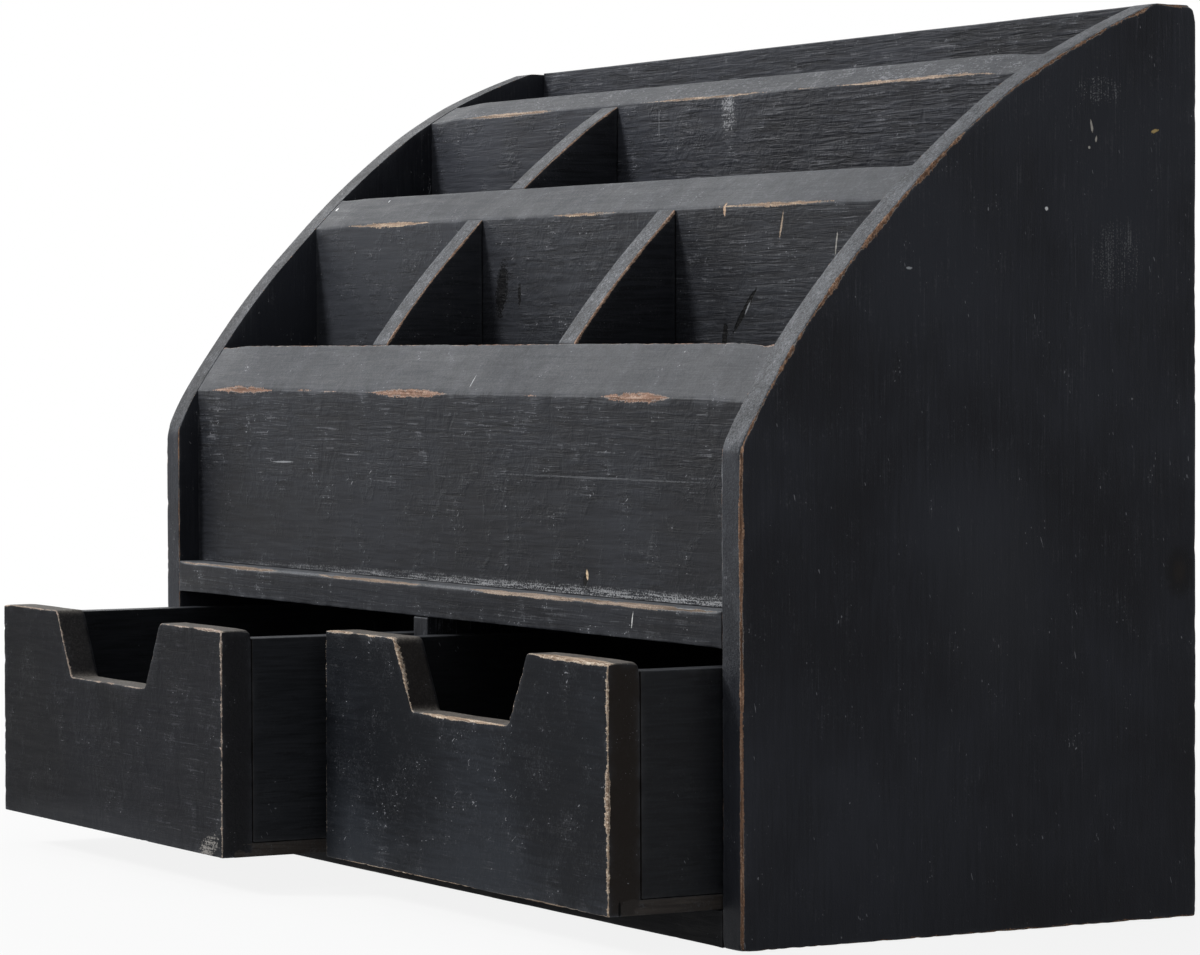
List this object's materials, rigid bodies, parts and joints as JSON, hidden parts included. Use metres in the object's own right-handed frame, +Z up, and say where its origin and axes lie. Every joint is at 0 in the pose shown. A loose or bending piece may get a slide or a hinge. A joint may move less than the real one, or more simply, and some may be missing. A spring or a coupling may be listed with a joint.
{
  "type": "envelope sorter with drawers",
  "caption": "Free-standing desk organizer of black painted boards with curved sides, stepped upright letter compartments and sliding drawers with finger notches below.",
  "frame": {"origin": "centre of the cabinet's underside, drawers not counted", "axes": "+X to the right across the cabinet's width, +Y to its back, +Z up"},
  "size_m": [0.445, 0.253, 0.305],
  "materials": {
    "cabinet_paint": "satin black paint worn to bare wood on the edges",
    "drawer_paint": "satin black paint worn to bare wood on the edges",
    "brad_steel": "plain wire"
  },
  "bodies": {
    "cabinet": {"left_side_panel": "cabinet_paint", "right_side_panel": "cabinet_paint", "bottom_board": "cabinet_paint", "shelf_board": "cabinet_paint", "drawer_divider": "cabinet_paint", "back_panel": "cabinet_paint", "front_panel": "cabinet_paint", "middle_partition": "cabinet_paint", "rear_partition": "cabinet_paint", "front_row_divider_left": "cabinet_paint", "front_row_divider_right": "cabinet_paint", "middle_row_divider": "cabinet_paint", "left_side_brad_1": "brad_steel", "left_side_brad_2": "brad_steel", "left_side_brad_3": "brad_steel", "left_side_brad_4": "brad_steel", "left_side_brad_5": "brad_steel", "left_side_brad_6": "brad_steel", "left_side_brad_7": "brad_steel", "left_side_brad_8": "brad_steel", "left_side_brad_9": "brad_steel", "right_side_brad_1": "brad_steel", "right_side_brad_2": "brad_steel", "right_side_brad_3": "brad_steel", "right_side_brad_4": "brad_steel", "right_side_brad_5": "brad_steel", "right_side_brad_6": "brad_steel", "right_side_brad_7": "brad_steel", "right_side_brad_8": "brad_steel", "right_side_brad_9": "brad_steel"},
    "left_drawer": {"left_drawer_front": "drawer_paint", "left_drawer_left_wall": "drawer_paint", "left_drawer_right_wall": "drawer_paint", "left_drawer_back": "drawer_paint", "left_drawer_bottom_panel": "drawer_paint", "left_drawer_front_brad_1": "brad_steel", "left_drawer_front_brad_2": "brad_steel", "left_drawer_front_brad_3": "brad_steel", "left_drawer_front_brad_4": "brad_steel", "left_drawer_panel_pin_1": "brad_steel", "left_drawer_panel_pin_2": "brad_steel", "left_drawer_panel_pin_3": "brad_steel", "left_drawer_panel_pin_4": "brad_steel"},
    "right_drawer": {"right_drawer_front": "drawer_paint", "right_drawer_left_wall": "drawer_paint", "right_drawer_right_wall": "drawer_paint", "right_drawer_back": "drawer_paint", "right_drawer_bottom_panel": "drawer_paint", "right_drawer_front_brad_1": "brad_steel", "right_drawer_front_brad_2": "brad_steel", "right_drawer_front_brad_3": "brad_steel", "right_drawer_front_brad_4": "brad_steel", "right_drawer_panel_pin_1": "brad_steel", "right_drawer_panel_pin_2": "brad_steel", "right_drawer_panel_pin_3": "brad_steel", "right_drawer_panel_pin_4": "brad_steel"}
  },
  "joints": [
    {"name": "left_drawer_slide", "type": "slide", "parent": "cabinet", "child": "left_drawer", "axis": [0, -1, 0], "range_m": [-0.075, 0.055]},
    {"name": "right_drawer_slide", "type": "slide", "parent": "cabinet", "child": "right_drawer", "axis": [0, -1, 0], "range_m": [-0.041, 0.089]}
  ]
}
